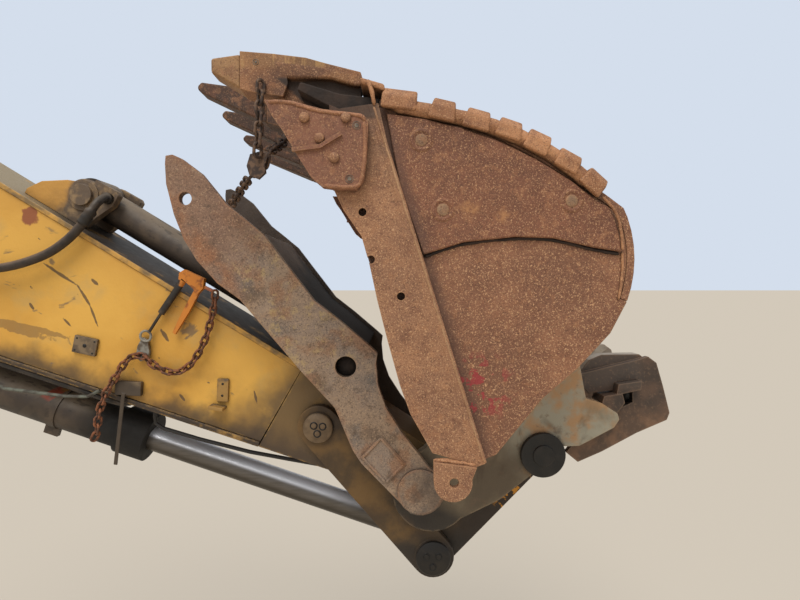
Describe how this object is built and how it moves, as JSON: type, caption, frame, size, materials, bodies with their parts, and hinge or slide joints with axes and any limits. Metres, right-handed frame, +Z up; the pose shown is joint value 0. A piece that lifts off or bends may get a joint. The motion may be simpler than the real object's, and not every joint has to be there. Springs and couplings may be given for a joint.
{
  "type": "excavator stick with bucket and thumb",
  "caption": "Excavator stick with toothed digging bucket on a coupler, its tipping linkage and cylinder, a hydraulic thumb and lashing chain, hung from its boom pin.",
  "frame": {"origin": "middle of the boom-pin bore of the stick, the mount that holds the part", "axes": "+Y across the stick along the boom pin, away from the side seen; +X towards the bucket; +Z up, in the pose it is parked in"},
  "size_m": [4.6414, 1.596, 2.3156],
  "materials": {
    "yellow_paint": "faded yellow paint, scratched and dirty",
    "hose_rubber": "dusty black rubber hose",
    "grey_pipe": "thin grey pipe",
    "chain_steel": "rusty chain",
    "binder_steel": "chipped orange and black paint",
    "cylinder_paint": "grimy dark paint",
    "rod_chrome": "polished rod, dusty",
    "dark_steel": "greasy dark steel",
    "link_steel": "dirty worn yellow paint on steel",
    "coupler_casting": "grey casting",
    "latch_steel": "brown rusty steel",
    "bucket_rust": "rust brown worn steel",
    "thumb_steel": "brown grey rusty steel"
  },
  "bodies": {
    "stick": {"stick_side_plates": "yellow_paint", "stick_top_plate": "yellow_paint", "stick_bottom_plate": "yellow_paint", "stick_tail_plate": "yellow_paint", "stick_nose": "yellow_paint", "boom_pin_boss": "yellow_paint", "tail_boss": "yellow_paint", "bucket_cylinder_lugs": "yellow_paint", "thumb_cylinder_bracket": "yellow_paint", "stick_pads": "yellow_paint", "thumb_hose": "hose_rubber", "grease_line": "grey_pipe", "stick_chain": "chain_steel", "chain_binder": "binder_steel", "idler_pin": "dark_steel"},
    "idlers": {"idler_links": "link_steel"},
    "power_link": {"power_link": "link_steel"},
    "bucket_barrel": {"bucket_cylinder_barrel": "cylinder_paint"},
    "bucket_rod": {"bucket_cylinder_rod": "rod_chrome"},
    "thumb_barrel": {"thumb_cylinder_barrel": "cylinder_paint"},
    "thumb_rod": {"thumb_cylinder_rod": "rod_chrome"},
    "thumb": {"thumb_plates": "thumb_steel", "thumb_spine": "thumb_steel", "thumb_pads": "thumb_steel"},
    "bucket": {"coupler_plates": "coupler_casting", "coupler_cross_tubes": "coupler_casting", "coupler_pins": "dark_steel", "latch_plates": "latch_steel", "latch_wedges": "latch_steel", "bucket_cheeks": "bucket_rust", "bucket_wrapper": "bucket_rust", "bucket_hinge_plate": "bucket_rust", "bucket_side_bars": "bucket_rust", "bucket_wear_plates": "bucket_rust", "bucket_lip": "bucket_rust", "tooth_adapters": "bucket_rust", "teeth": "bucket_rust", "side_cutters": "bucket_rust", "heel_shrouds": "bucket_rust", "lifting_eyes": "bucket_rust", "bucket_chain": "chain_steel"}
  },
  "joints": [
    {"name": "bucket_curl", "type": "hinge", "parent": "stick", "child": "bucket", "pos_m": [2.6981, 0, -1.52651], "axis": [0, 1, 0], "range_deg": [0, 150]},
    {"name": "idler_swing", "type": "hinge", "parent": "stick", "child": "idlers", "pos_m": [2.28653, 0, -1.31778], "axis": [0, 1, 0], "range_deg": [0, 90]},
    {"name": "power_link_swing", "type": "hinge", "parent": "idlers", "child": "power_link", "pos_m": [2.75758, 0, -1.85966], "axis": [0, 1, 0], "range_deg": [-25, 0]},
    {"name": "bucket_barrel_swing", "type": "hinge", "parent": "stick", "child": "bucket_barrel", "pos_m": [0.15815, 0, -0.95924], "axis": [0, 1, 0], "range_deg": [0, 13]},
    {"name": "bucket_rod_slide", "type": "slide", "parent": "bucket_barrel", "child": "bucket_rod", "axis": [0.9449, 0, -0.3273], "range_m": [-0.905, 0]},
    {"name": "thumb_swing", "type": "hinge", "parent": "stick", "child": "thumb", "pos_m": [2.6981, 0, -1.52651], "axis": [0, 1, 0], "range_deg": [0, 101]},
    {"name": "thumb_barrel_swing", "type": "hinge", "parent": "stick", "child": "thumb_barrel", "pos_m": [1.27734, 0, -0.35387], "axis": [0, 1, 0], "range_deg": [-10, 0]},
    {"name": "thumb_rod_slide", "type": "slide", "parent": "thumb_barrel", "child": "thumb_rod", "axis": [0.8535, 0, -0.521], "range_m": [0, 0.81]}
  ],
  "couplings": [
    {"joint": "idler_swing", "follows": "bucket_curl", "ratio": 0.5881},
    {"joint": "power_link_swing", "follows": "bucket_curl", "ratio": -0.1542},
    {"joint": "bucket_barrel_swing", "follows": "bucket_curl", "ratio": 0.079},
    {"joint": "bucket_rod_slide", "follows": "bucket_curl", "m_per_rad": -0.34366},
    {"joint": "thumb_swing", "follows": "bucket_curl", "ratio": 0.6667},
    {"joint": "thumb_barrel_swing", "follows": "bucket_curl", "ratio": -0.05867},
    {"joint": "thumb_rod_slide", "follows": "bucket_curl", "m_per_rad": 0.30667}
  ]
}
